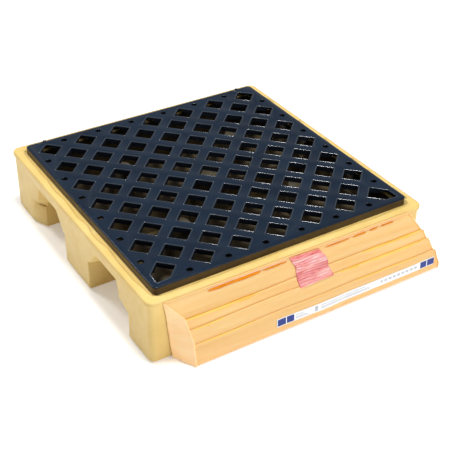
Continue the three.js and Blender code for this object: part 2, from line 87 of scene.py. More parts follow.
class ShaderGraph:
    """A material being wired up, with short calls for the nodes that every finish uses."""

    def __init__(self, name: str) -> None:
        """Start a material that holds one Principled shader.

        Args:
            name: the material's name.
        """
        self.material = bpy.data.materials.new(name)
        self.material.use_nodes = True
        self.tree = self.material.node_tree
        self.tree.nodes.clear()
        self.shader = self.tree.nodes.new("ShaderNodeBsdfPrincipled")
        output = self.tree.nodes.new("ShaderNodeOutputMaterial")
        self.tree.links.new(self.shader.outputs["BSDF"], output.inputs["Surface"])
        self.place = self.tree.nodes.new("ShaderNodeTexCoord").outputs["Object"]

    def stretched(self, scale: Point) -> Socket:
        """Coordinates stretched along the axes.

        Args:
            scale: the factor on each axis.

        Returns:
            The stretched coordinates.
        """
        node = self.tree.nodes.new("ShaderNodeMapping")
        node.inputs["Scale"].default_value = scale
        self.tree.links.new(self.place, node.inputs["Vector"])
        return node.outputs["Vector"]

    def height(self) -> Socket:
        """Height above the floor.

        Returns:
            The height, in metres.
        """
        node = self.tree.nodes.new("ShaderNodeSeparateXYZ")
        self.tree.links.new(self.place, node.inputs["Vector"])
        return node.outputs["Z"]

    def noise(
        self,
        scale: float,
        detail: float = 4.0,
        roughness: float = 0.5,
        distortion: float = 0.0,
        where: Optional[Socket] = None,
    ) -> Socket:
        """A noise texture.

        Args:
            scale: features per metre, roughly.
            detail: octaves.
            roughness: strength of the finer octaves.
            distortion: how far it is warped.
            where: its coordinates, or None for the object's own.

        Returns:
            Its factor.
        """
        node = self.tree.nodes.new("ShaderNodeTexNoise")
        node.inputs["Scale"].default_value = scale
        node.inputs["Detail"].default_value = detail
        node.inputs["Roughness"].default_value = roughness
        node.inputs["Distortion"].default_value = distortion
        self.tree.links.new(where or self.place, node.inputs["Vector"])
        return node.outputs["Fac"]

    def ramp(self, factor: Socket, stops: Sequence[tuple[float, Colour]]) -> Socket:
        """A colour ramp.

        Args:
            factor: what drives it.
            stops: its stops, as (place, colour).

        Returns:
            Its colour.
        """
        node = self.tree.nodes.new("ShaderNodeValToRGB")
        elements = node.color_ramp.elements
        while len(elements) < len(stops):
            elements.new(0.5)
        for element, (at, colour) in zip(elements, stops):
            element.position = at
            element.color = (*colour, 1.0)
        self.tree.links.new(factor, node.inputs["Fac"])
        return node.outputs["Color"]

    def span(self, factor: Socket, source: tuple[float, float], target: tuple[float, float]) -> Socket:
        """A number moved from one range to another and held inside it.

        Args:
            factor: the number.
            source: the range it comes in.
            target: the range it goes to.

        Returns:
            The moved number.
        """
        node = self.tree.nodes.new("ShaderNodeMapRange")
        for name, value in zip(("From Min", "From Max", "To Min", "To Max"), (*source, *target)):
            node.inputs[name].default_value = value
        self.tree.links.new(factor, node.inputs["Value"])
        return node.outputs["Result"]

    def mix(self, factor: Socket, first: Socket, second: Colour) -> Socket:
        """A colour laid over another.

        Args:
            factor: how much of the second shows.
            first: the colour underneath.
            second: the colour on top.

        Returns:
            The mixed colour.
        """
        node = self.tree.nodes.new("ShaderNodeMix")
        node.data_type = "RGBA"
        self.tree.links.new(factor, node.inputs["Factor"])
        self.tree.links.new(first, node.inputs[6])
        node.inputs[7].default_value = (*second, 1.0)
        return node.outputs[2]

    def bump(self, layers: Iterable[tuple[Socket, float, float]]) -> None:
        """Relief on the surface.

        Args:
            layers: heights as (factor, depth in metres, strength), coarse first.
        """
        last = None
        for factor, depth, strength in layers:
            node = self.tree.nodes.new("ShaderNodeBump")
            node.inputs["Distance"].default_value = depth
            node.inputs["Strength"].default_value = strength
            self.tree.links.new(factor, node.inputs["Height"])
            if last is not None:
                self.tree.links.new(last, node.inputs["Normal"])
            last = node.outputs["Normal"]
        self.tree.links.new(last, self.shader.inputs["Normal"])

    def set(self, **values: object) -> None:
        """Set plain values on the shader.

        Args:
            values: socket names, with _ for a space, and their values.
        """
        for name, value in values.items():
            self.shader.inputs[name.replace("_", " ")].default_value = value

    def drive(self, name: str, socket: Socket) -> None:
        """Wire something into the shader.

        Args:
            name: the shader's socket.
            socket: what goes in.
        """
        self.tree.links.new(socket, self.shader.inputs[name])


@dataclass(frozen=True)
class MouldedPlastic:
    """Rotomoulded polyethylene: cloudy colour, faint specks and an orange-peel skin."""

    name: str
    dark: Colour
    middle: Colour
    light: Colour
    roughness: tuple[float, float] = (0.38, 0.55)
    peel: float = 0.0005
    grime: Colour = (0.30, 0.19, 0.06)
    # Below this height the colour grows darker towards the bottom, mixing toward the grime colour.
    darker_up_to: float = 0.13
    dust_and_low_darkening: float = 0.30

    def build(self) -> Finish:
        """Make the material.

        Returns:
            The new material.
        """
        g = ShaderGraph(self.name)
        clouds = g.noise(7.0, 5.0, 0.55, 0.4)
        colour = g.ramp(clouds, [(0.30, self.dark), (0.52, self.middle), (0.72, self.light)])
        specks = g.span(g.noise(620.0, 2.0), (0.66, 0.74), (0.0, 0.35))
        colour = g.mix(specks, colour, self.grime)
        scuffs = g.span(g.noise(38.0, 8.0, 0.7, 1.2), (0.60, 0.74), (0.0, 0.22))
        colour = g.mix(scuffs, colour, self.grime)
        # Darker towards the bottom: the colour mixes toward the grime colour below a set height.
        colour = g.mix(g.span(g.height(), (0.0, self.darker_up_to), (self.dust_and_low_darkening, 0.0)), colour, self.grime)
        g.drive("Base Color", colour)
        g.drive("Roughness", g.span(g.noise(55.0, 6.0, 0.6), (0.3, 0.7), self.roughness))
        g.bump([(g.noise(14.0, 3.0), 0.004, 0.10), (g.noise(260.0, 3.0, 0.6), self.peel, 0.35)])
        g.set(
            Specular_IOR_Level=0.38,
            Subsurface_Weight=0.10,
            Subsurface_Scale=0.01,
            Subsurface_Radius=(1.0, 0.5, 0.2),
        )
        return g.material


@dataclass(frozen=True)
class GlossPlastic:
    """Hard moulded plastic with a shine, fine scratches and a dusting of wear."""

    name: str
    dark: Colour
    light: Colour
    wear: Colour
    roughness: tuple[float, float] = (0.20, 0.34)
    shine: float = 0.28

    def build(self) -> Finish:
        """Make the material.

        Returns:
            The new material.
        """
        g = ShaderGraph(self.name)
        colour = g.ramp(g.noise(11.0, 5.0, 0.6, 0.3), [(0.3, self.dark), (0.7, self.light)])
        lines = g.noise(60.0, 6.0, 0.7, 2.0, g.stretched((1.0, 9.0, 1.0)))
        colour = g.mix(g.span(lines, (0.62, 0.78), (0.0, 0.30)), colour, self.wear)
        dust_and_low_darkening = g.span(g.noise(900.0, 2.0), (0.68, 0.76), (0.0, 0.5))
        colour = g.mix(dust_and_low_darkening, colour, self.wear)
        g.drive("Base Color", colour)
        g.drive("Roughness", g.span(g.noise(34.0, 7.0, 0.65, 0.6), (0.3, 0.7), self.roughness))
        g.bump([(g.noise(17.0, 3.0), 0.003, 0.12), (g.noise(420.0, 3.0), 0.0003, 0.25)])
        g.set(Specular_IOR_Level=self.shine)
        return g.material


@dataclass(frozen=True)
class Film:
    """Translucent plastic film: streaky colour, soft shine and fine handling creases."""

    name: str
    deep: Colour
    middle: Colour
    pale: Colour
    streak: Point = (5.0, 14.0, 22.0)
    roughness: tuple[float, float] = (0.30, 0.48)
    crease: float = 0.0012
    glow: float = 0.35
    shine: float = 0.45
    # Strength of a painted glow: emission that stands in for light passing through the film.
    painted_emission: float = 0.0

    def build(self) -> Finish:
        """Make the material.

        Returns:
            The new material.
        """
        g = ShaderGraph(self.name)
        streaks = g.noise(1.6, 6.0, 0.55, 1.1, g.stretched(self.streak))
        colour = g.ramp(streaks, [(0.28, self.deep), (0.47, self.middle), (0.70, self.pale)])
        mottle = g.span(g.noise(130.0, 4.0, 0.6), (0.55, 0.75), (0.0, 0.22))
        colour = g.mix(mottle, colour, self.pale)
        g.drive("Base Color", colour)
        g.drive("Roughness", g.span(g.noise(48.0, 5.0, 0.6), (0.3, 0.7), self.roughness))
        folds = g.noise(3.0, 4.0, 0.5, 0.8, g.stretched(self.streak))
        g.bump([(folds, self.crease * 3, 0.22), (g.noise(90.0, 4.0, 0.5, 0.4), self.crease, 0.12)])
        g.set(
            Specular_IOR_Level=self.shine,
            Subsurface_Weight=self.glow,
            Subsurface_Scale=0.014,
            Subsurface_Radius=(1.0, 0.45, 0.15),
            # The emission is a painted glow, not a lamp.
            Emission_Color=(1.0, 0.5, 0.15, 1.0),
            Emission_Strength=self.painted_emission,
        )
        return g.material


@dataclass(frozen=True)
class Metal:
    """Rolled or turned steel with fine lines along one axis."""

    name: str
    dark: Colour
    light: Colour
    grain: Point
    roughness: tuple[float, float] = (0.28, 0.46)

    def build(self) -> Finish:
        """Make the material.

        Returns:
            The new material.
        """
        g = ShaderGraph(self.name)
        lines = g.noise(40.0, 6.0, 0.6, 0.0, g.stretched(self.grain))
        g.drive("Base Color", g.ramp(lines, [(0.3, self.dark), (0.7, self.light)]))
        g.drive("Roughness", g.span(g.noise(70.0, 5.0), (0.3, 0.7), self.roughness))
        g.bump([(lines, 0.0002, 0.30), (g.noise(300.0, 3.0), 0.0001, 0.2)])
        g.set(Metallic=1.0)
        return g.material


@dataclass(frozen=True)
class Matt:
    """A matt surface with soft mottling, such as rubber sheet or printed film."""

    name: str
    dark: Colour
    light: Colour
    roughness: tuple[float, float] = (0.55, 0.75)
    scale: float = 60.0
    relief: float = 0.0003
    glow: float = 0.0

    def build(self) -> Finish:
        """Make the material.

        Returns:
            The new material.
        """
        g = ShaderGraph(self.name)
        g.drive("Base Color", g.ramp(g.noise(self.scale, 5.0, 0.6), [(0.3, self.dark), (0.7, self.light)]))
        g.drive("Roughness", g.span(g.noise(self.scale * 1.7, 4.0), (0.3, 0.7), self.roughness))
        g.bump([(g.noise(self.scale * 6.0, 4.0), self.relief, 0.3)])
        g.set(Specular_IOR_Level=0.35, Emission_Color=(1.0, 1.0, 1.0, 1.0), Emission_Strength=self.glow)
        return g.material


class Finishes:
    """Every material of the scene, built once."""

    def __init__(self) -> None:
        """Build them all."""
        self.sump = MouldedPlastic(
            "yellow_moulded", (0.66, 0.455, 0.13), (0.735, 0.525, 0.175), (0.79, 0.59, 0.225)
        ).build()
        # Painted shade: the hollow under the grating is the same yellow plastic, coloured near-black brown
        # for the shade it lies in.
        self.inside = MouldedPlastic(
            "painted_shade_inside",
            (0.026, 0.020, 0.012),
            (0.052, 0.040, 0.023),
            (0.09, 0.07, 0.040),
            roughness=(0.45, 0.7),
        ).build()
        # Painted shade: the support columns under the grating are coloured dark brown for the shade they
        # stand in.
        self.column = MouldedPlastic(
            "painted_shade_column", (0.034, 0.028, 0.018), (0.062, 0.051, 0.032), (0.10, 0.082, 0.052), peel=0.0003
        ).build()
        self.grate = GlossPlastic(
            "blue_black_moulded",
            (0.003, 0.009, 0.021),
            (0.006, 0.016, 0.034),
            (0.02, 0.035, 0.06),
            shine=0.22,
        ).build()
        # A shade lighter than the grating's top: partly wear, partly a painted highlight along every hole's
        # lip.
        self.lip = GlossPlastic(
            "blue_black_lip",
            (0.008, 0.015, 0.027),
            (0.015, 0.026, 0.042),
            (0.07, 0.085, 0.11),
            roughness=(0.12, 0.24),
            shine=0.9,
        ).build()
        # Painted shade: the hole walls and underside are coloured nearly black for the shade inside the
        # holes.
        self.hole_wall = GlossPlastic(
            "blue_black_hole_wall_painted_shade",
            (0.003, 0.005, 0.009),
            (0.007, 0.010, 0.016),
            (0.02, 0.025, 0.03),
            roughness=(0.35, 0.5),
            shine=0.15,
        ).build()
        # Painted light: the blue-black grating's outer side is coloured dark brown for the shade of the gap
        # and the yellow rim's light on it.
        self.band = GlossPlastic(
            "edge_band",
            (0.030, 0.017, 0.007),
            (0.075, 0.044, 0.018),
            (0.14, 0.09, 0.04),
            roughness=(0.3, 0.45),
            shine=0.3,
        ).build()
        self.film = Film(
            "orange_film",
            (0.91, 0.43, 0.13),
            (0.945, 0.485, 0.165),
            (0.97, 0.535, 0.21),
            streak=(1.6, 7.0, 30.0),
        ).build()
        # Painted light: the gussets are a paler, lit copy of the film with a painted glow for light passing
        # through them.
        self.painted_glow_film = Film(
            "painted_glow_film",
            (0.95, 0.54, 0.22),
            (0.98, 0.62, 0.30),
            (1.0, 0.68, 0.36),
            streak=(1.6, 7.0, 18.0),
            painted_emission=0.20,
        ).build()
        # Painted shade: the hem slit is a dark band standing in for the shade of the gap between film layers.
        self.slit_shade_film = Film(
            "painted_slit_shade_film",
            (0.56, 0.14, 0.002),
            (0.66, 0.20, 0.004),
            (0.76, 0.28, 0.012),
            glow=0.0,
            shine=0.08,
        ).build()
        # Painted crease shade along the hard fold lines.
        self.crease_shade_film = Film(
            "crease_shade_film", (0.86, 0.40, 0.045), (0.90, 0.47, 0.07), (0.94, 0.54, 0.11), glow=0.15
        ).build()
        self.lip_film = Film(
            "hem_bead_film", (0.80, 0.40, 0.20), (0.90, 0.52, 0.33), (0.97, 0.66, 0.50)
        ).build()
        self.tape = Film(
            "red_tape_film",
            (0.62, 0.06, 0.07),
            (0.86, 0.22, 0.20),
            (0.98, 0.52, 0.46),
            streak=(7.0, 10.0, 34.0),
            roughness=(0.16, 0.30),
        ).build()
        self.white, self.blue, self.grey = (
            Matt(name, dark, light, sheen, scale, 0.0002).build()
            for name, dark, light, sheen, scale in (
                ("white_film", (0.74, 0.75, 0.78), (0.82, 0.83, 0.85), (0.32, 0.45), 80.0),
                ("blue_print", (0.003, 0.022, 0.17), (0.008, 0.038, 0.25), (0.32, 0.45), 90.0),
                ("grey_print", (0.36, 0.38, 0.42), (0.50, 0.52, 0.56), (0.35, 0.5), 120.0),
            )
        )
        self.rubber = Matt("black_rubber", (0.012, 0.012, 0.013), (0.03, 0.03, 0.032)).build()
        self.clamp = Metal("rolled_steel", (0.38, 0.39, 0.40), (0.60, 0.61, 0.62), (1.0, 12.0, 30.0)).build()
        self.bright = Metal("bright_steel", (0.50, 0.51, 0.53), (0.70, 0.71, 0.72), (1.0, 30.0, 1.0)).build()
        self.floor = Matt(
            "pale_floor", (0.95, 0.95, 0.95), (0.97, 0.97, 0.97), (0.7, 0.8), 4.0, 0.0001, glow=0.20
        ).build()


# ---------------------------------------------------------------- mesh helpers


def plain_object(name: str, mesh: bpy.types.Mesh, materials: Sequence[Finish]) -> Thing:
    """Put a mesh in the scene, at the origin and unturned.

    Args:
        name: the object's name.
        mesh: its mesh.
        materials: its materials, in order.

    Returns:
        The new object.
    """
    numbers = np.zeros(len(mesh.polygons), np.int32)
    mesh.polygons.foreach_get("material_index", numbers)
    mesh.materials.clear()
    for material in materials:
        mesh.materials.append(material)
    mesh.polygons.foreach_set("material_index", np.minimum(numbers, max(0, len(materials) - 1)))
    made = bpy.data.objects.new(name, mesh)
    bpy.context.scene.collection.objects.link(made)
    return made


def settle(made: Thing) -> Thing:
    """Turn an object with modifiers into the plain mesh that they give.

    Args:
        made: the object.

    Returns:
        The same object, without modifiers.
    """
    bpy.context.view_layer.update()
    graph = bpy.context.evaluated_depsgraph_get()
    mesh = bpy.data.meshes.new_from_object(made.evaluated_get(graph), depsgraph=graph)
    mesh.name = made.name
    made.modifiers.clear()
    made.data = mesh
    return made


def smooth_by_angle(mesh: bpy.types.Mesh, degrees: float) -> None:
    """Shade a mesh smooth except across its sharper edges.

    Args:
        mesh: the mesh.
        degrees: edges that turn more than this stay sharp.
    """
    mesh.shade_smooth()
    mesh.set_sharp_from_angle(angle=math.radians(degrees))


def face_outwards(mesh: bpy.types.Mesh) -> None:
    """Turn every face of a closed mesh outwards and shade it smooth.

    Args:
        mesh: the mesh.
    """
    work = bmesh.new()
    work.from_mesh(mesh)
    bmesh.ops.recalc_face_normals(work, faces=work.faces)
    work.to_mesh(mesh)
    work.free()
    mesh.shade_smooth()


def read_off(table: Spans, at: float) -> float:
    """Read a value off a table, between its rows.

    Args:
        table: rows as (place, value), places rising.
        at: the place.

    Returns:
        The value there.
    """
    return float(np.interp(at, [place for place, _ in table], [value for _, value in table]))


def grid_sheet(
    name: str,
    rows: np.ndarray,
    thick: float,
    materials: Sequence[Finish],
    index: Optional[Callable[[int, int], int]] = None,
) -> Thing:
    """A thin closed sheet through a grid of points.

    Args:
        name: the piece's name.
        rows: points as an array of (rows, columns, 3).
        thick: its thickness.
        materials: its materials.
        index: gives a face's material from its row and column, or None for the first.

    Returns:
        The new object, closed, with its normals outward.
    """
    high, wide = rows.shape[:2]
    faces = [
        (r * wide + c, r * wide + c + 1, (r + 1) * wide + c + 1, (r + 1) * wide + c)
        for r in range(high - 1)
        for c in range(wide - 1)
    ]
    mesh = bpy.data.meshes.new(name)
    mesh.from_pydata(rows.reshape(-1, 3).tolist(), [], faces)
    if index is not None:
        picked = [index(r, c) for r in range(high - 1) for c in range(wide - 1)]
        mesh.polygons.foreach_set("material_index", picked)
    made = plain_object(name, mesh, materials)
    solid = made.modifiers.new("thickness", "SOLIDIFY")
    solid.thickness = thick
    solid.offset = 0.0
    solid.use_even_offset = False
    settle(made)
    face_outwards(made.data)
    return made


def swept_ring(
    outline: np.ndarray, wide: float, tall: float, sides: int = 8
) -> tuple[list[Point], list[tuple[int, ...]]]:
    """A flattened round bead swept round a closed flat outline.

    Args:
        outline: the outline's points as (count, 3), at one height.
        wide: half the bead's width.
        tall: half its height.
        sides: points round the bead.

    Returns:
        Its points and faces.
    """
    count = len(outline)
    after, before = np.roll(outline, -1, axis=0), np.roll(outline, 1, axis=0)
    along = after - before
    along /= np.linalg.norm(along, axis=1)[:, None]
    side = np.cross(along, (0.0, 0.0, 1.0))
    points, faces = [], []
    for at in range(count):
        for step in range(sides):
            angle = 2 * math.pi * step / sides
            rise = np.array((0, 0, tall * math.sin(angle)))
            points.append(tuple(outline[at] + side[at] * wide * math.cos(angle) + rise))
    for at in range(count):
        for step in range(sides):
            a, b = at * sides + step, at * sides + (step + 1) % sides
            c, d = ((at + 1) % count) * sides + (step + 1) % sides, ((at + 1) % count) * sides + step
            faces.append((a, b, c, d))
    return points, faces


# ---------------------------------------------------------------- sump tray


@dataclass
class SumpTray:
    """The moulded tray: the CAD body with its edges rounded as moulding leaves them."""

    finishes: Finishes
    edge_round: float = 2.6 * MM
    edge_steps: int = 3
    sharp_above: float = 28.0
    throat_half: float = 299.0 * MM
    seat_top: float = 144.9 * MM
    rim_inner: tuple[float, float] = (313.0 * MM, 319.0 * MM)
    rim_low: float = 143.0 * MM
    rim_step: float = 15.0 * MM
    rim_wave: float = 5.6 * MM
    rim_waves: float = 13.0
    rim_fade: float = 50.0 * MM
    rim_corner_clear: float = 6.0 * MM
    rim_top_wave: float = 0.9 * MM
    top_waves: float = 12.0
    rim_flat: float = 149.5 * MM
    hollow_half: float = 328.0 * MM
    hollow_low: float = 3.0 * MM
    hollow_high: float = 140.5 * MM
    pocket_roof: float = 80.0 * MM
    seat_under: float = 130.0 * MM
    mouth_start: float = 280.0 * MM
    foot_inside: float = 55.0 * MM
    pocket_outside: float = 209.0 * MM
    mouth_flare: float = 22.0 * MM
    mouth_flare_y: tuple[float, float] = (190.0 * MM, 248.0 * MM)
    foot_top: float = 50.0 * MM
    mouth_top: float = 84.0 * MM
    mouth_share: float = 0.22
    outlet_low: Point = (-0.215, -0.340, 0.050)
    outlet_high: Point = (0.215, -0.320, 0.121)

    def near_outlet(self, point: Vector) -> bool:
        """Whether a point is on the clamped outlet, whose edges stay crisp.

        Args:
            point: the point.

        Returns:
            True inside the outlet's box.
        """
        return all(low <= at <= high for low, at, high in zip(self.outlet_low, point, self.outlet_high))

    def at_mouth(self, point: Vector) -> bool:
        """Whether a point is at the top of a fork pocket's flared mouth, whose small faces take a finer edge.

        Args:
            point: the point.

        Returns:
            True there.
        """
        flared = self.mouth_flare_y[0] <= abs(point.y) <= self.mouth_flare_y[1]
        return abs(point.x) > self.mouth_start and flared and self.foot_top <= point.z <= self.mouth_top

    def inside_hollow(self, centre: Vector, normal: Vector) -> bool:
        """Whether a face looks into the hollow below the grating's seat, which takes a painted shade.

        Args:
            centre: the middle of the face.
            normal: its direction.

        Returns:
            True for the hollow's floor, walls and pocket roofs.
        """
        throat = max(abs(centre.x), abs(centre.y)) < self.throat_half
        if not self.hollow_low < centre.z < (self.seat_top if throat else self.hollow_high):
            return False
        if max(abs(centre.x), abs(centre.y)) > self.hollow_half:
            return False
        outward = (normal.x * centre.x + normal.y * centre.y) / max(1e-6, math.hypot(centre.x, centre.y))
        if math.hypot(centre.x, centre.y) > self.hollow_half * 1.3 and outward > 0.3:
            return False
        if abs(centre.x) > self.mouth_start and normal.x * centre.x > 0.1 * abs(centre.x):
            return False
        if normal.z < -0.5:
            return centre.z > self.seat_under
        above_pocket = centre.z > self.pocket_roof
        flare = self.mouth_flare if abs(centre.x) > self.mouth_start else 0.0
        between_feet = abs(centre.y) < self.foot_inside - flare or abs(centre.y) > self.pocket_outside + flare
        return above_pocket or between_feet

    def wave_rim(self, work: bmesh.types.BMesh) -> None:
        """Let the rim's inner edge and top wander a little, as moulding leaves them.

        Args:
            work: the tray's mesh, before its edges are rounded.
        """
        steps = int(self.rim_inner[1] / self.rim_step)
        for axis in (0, 1):
            for step in range(-steps, steps + 1):
                at, way = Vector((0.0, 0.0, 0.0)), Vector((0.0, 0.0, 0.0))
                at[axis], way[axis] = step * self.rim_step + self.rim_step / 3, 1.0
                high = [f for f in work.faces if min(v.co.z for v in f.verts) > self.rim_low]
                edges = {e for f in high for e in f.edges}
                points = {v for f in high for v in f.verts}
                cut = [*high, *edges, *points]
                bmesh.ops.bisect_plane(work, geom=cut, plane_co=at, plane_no=way, dist=1e-6)
        low, high_side = self.rim_inner
        straight = low - self.rim_corner_clear
        for point in work.verts:
            if point.co.z < self.rim_low:
                continue
            for axis, along in ((0, 1), (1, 0)):
                at = point.co[along]
                if low < abs(point.co[axis]) < high_side and abs(at) < straight:
                    fade = min(1.0, (straight - abs(at)) / self.rim_fade)
                    side = math.copysign(1.0, point.co[axis])
                    wave = noise.noise(Vector((at * self.rim_waves, 3.0 * axis + side, 0.4)))
                    point.co[axis] += math.copysign(self.rim_wave * fade * (wave * 1.7 + 0.1), side)
            if point.co.z > self.rim_flat:
                top = noise.noise(Vector((point.co.x * self.top_waves, point.co.y * self.top_waves, 7.0)))
                point.co.z -= self.rim_top_wave * (0.5 + 0.5 * top)

    def build(self) -> Thing:
        """Make the tray.

        Returns:
            The tray, riding on the deck.
        """
        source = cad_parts["sump_tray"]
        mesh = source.data.copy()
        mesh.transform(source.matrix_world)
        work = bmesh.new()
        work.from_mesh(mesh)
        bmesh.ops.remove_doubles(work, verts=work.verts, dist=0.02 * MM)
        bmesh.ops.dissolve_limit(
            work, angle_limit=math.radians(0.6), verts=work.verts, edges=work.edges, delimit={"NORMAL"}
        )
        self.wave_rim(work)
        weight = work.edges.layers.float.new("bevel_weight_edge")
        for edge in work.edges:
            if len(edge.link_faces) != 2:
                continue
            turned = math.degrees(edge.calc_face_angle(0.0))
            outlet = all(self.near_outlet(v.co) for v in edge.verts)
            if turned > self.sharp_above and not outlet:
                edge[weight] = self.mouth_share if all(self.at_mouth(v.co) for v in edge.verts) else 1.0
        work.to_mesh(mesh)
        work.free()
        # Faces of the hollow take the near-black material: painted shade.
        for face in mesh.polygons:
            face.material_index = int(self.inside_hollow(face.center, face.normal))
        tray = plain_object("sump_tray_moulded", mesh, [self.finishes.sump, self.finishes.inside])
        bevel = tray.modifiers.new("moulded_edges", "BEVEL")
        bevel.width = self.edge_round
        bevel.segments = self.edge_steps
        bevel.limit_method = "WEIGHT"
        bevel.use_clamp_overlap = False
        bevel.miter_outer = "MITER_ARC"
        bevel.harden_normals = False
        settle(tray)
        smooth_by_angle(tray.data, 40.0)
        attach(tray, Body.DECK.value)
        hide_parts("sump_tray")
        log.info("sump tray: %d faces", len(tray.data.polygons))
        return tray


# ---------------------------------------------------------------- grating


class NodeTree:
    """A Geometry Nodes tree being wired up, with named inputs."""

    def __init__(self, name: str) -> None:
        """Start an empty tree.

        Args:
            name: the tree's name.
        """
        self.group = bpy.data.node_groups.new(name, "GeometryNodeTree")
        self.group.interface.new_socket("Geometry", in_out="OUTPUT", socket_type="NodeSocketGeometry")
        self.start = self.group.nodes.new("NodeGroupInput")
        self.end = self.group.nodes.new("NodeGroupOutput")
        self.identifiers: dict[str, str] = {}

    def input(self, name: str, kind: str) -> None:
        """Add a named input.

        Args:
            name: its name.
            kind: its socket type, such as Float or Int.
        """
        made = self.group.interface.new_socket(name, in_out="INPUT", socket_type=f"NodeSocket{kind}")
        self.identifiers[name] = made.identifier

    def value(self, name: str) -> Socket:
        """The socket of a named input.

        Args:
            name: its name.

        Returns:
            The socket inside the tree.
        """
        return self.start.outputs[name]

    def add(
        self, kind: str, inputs: Optional[dict[object, object]] = None, **settings: object
    ) -> bpy.types.Node:
        """Add a node.

        Args:
            kind: its type.
            inputs: sockets by name or number, and a value or a socket for each.
            settings: attributes to set first.

        Returns:
            The node.
        """
        node = self.group.nodes.new(kind)
        for name, value in settings.items():
            setattr(node, name, value)
        for name, value in (inputs or {}).items():
            if isinstance(value, Socket):
                self.group.links.new(value, node.inputs[name])
            else:
                node.inputs[name].default_value = value
        return node

    def math(self, operation: str, first: object, second: object) -> Socket:
        """One sum on two numbers.

        Args:
            operation: such as MULTIPLY.
            first: a number or socket.
            second: a number or socket.

        Returns:
            The result.
        """
        return self.add("ShaderNodeMath", {0: first, 1: second}, operation=operation).outputs[0]

    def join(self, sources: Sequence[Socket]) -> Socket:
        """Join several geometries.

        Args:
            sources: what is joined.

        Returns:
            The joined geometry.
        """
        node = self.add("GeometryNodeJoinGeometry")
        for source in sources:
            self.group.links.new(source, node.inputs[0])
        return node.outputs[0]

    def finish(self, geometry: Socket, material: Finish) -> None:
        """Realize the instances, set the material and close the tree.

        Args:
            geometry: what the tree gives.
            material: its material.
        """
        real = self.add("GeometryNodeRealizeInstances", {0: geometry})
        smooth = self.add("GeometryNodeSetShadeSmooth", {0: real.outputs[0]})
        painted = self.add("GeometryNodeSetMaterial", {0: smooth.outputs[0], "Material": material})
        self.group.links.new(painted.outputs[0], self.end.inputs[0])


